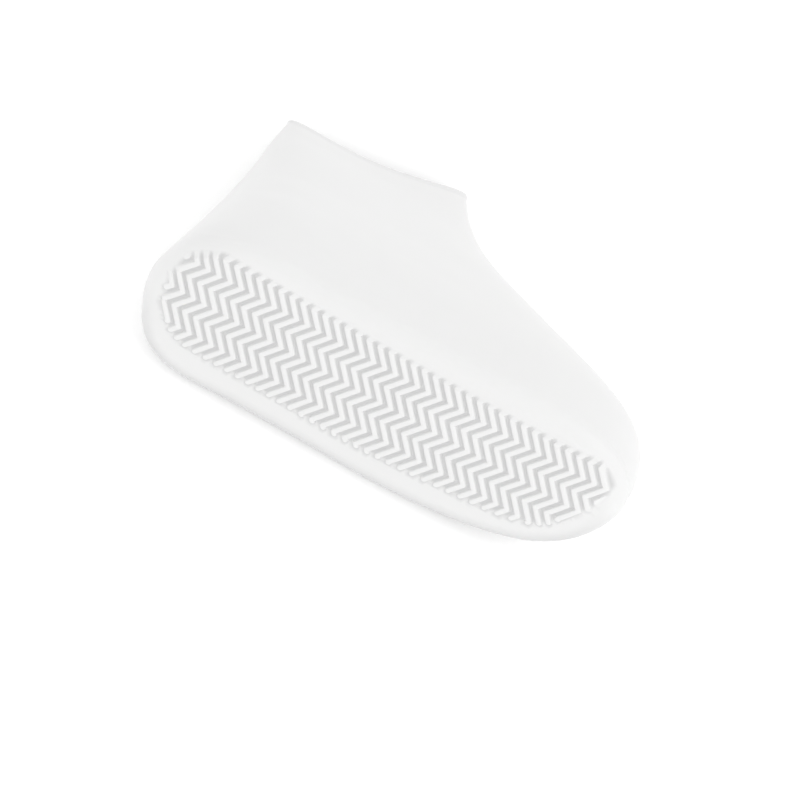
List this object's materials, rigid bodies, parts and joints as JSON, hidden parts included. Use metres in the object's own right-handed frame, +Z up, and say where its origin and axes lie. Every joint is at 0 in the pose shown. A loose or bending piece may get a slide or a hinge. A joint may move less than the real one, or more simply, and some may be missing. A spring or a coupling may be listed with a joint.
{
  "type": "overshoe",
  "caption": "Slip-on waterproof overshoe of moulded silicone for a left foot: hollow, high sides, narrow collar slit and a zigzag-ribbed sole; it lies on its side.",
  "frame": {"origin": "middle of the bounding box, on the surface that the overshoe lies on", "axes": "+X from heel to toe, +Y from the sole towards the collar, +Z up from the surface; the overshoe lies on its small-toe side, with its tread facing -Y and a little up"},
  "size_m": [0.275, 0.1674, 0.1132],
  "materials": {
    "silicone": "satin translucent white silicone"
  },
  "bodies": {
    "root": {"overshoe_shell": "silicone"}
  },
  "joints": []
}
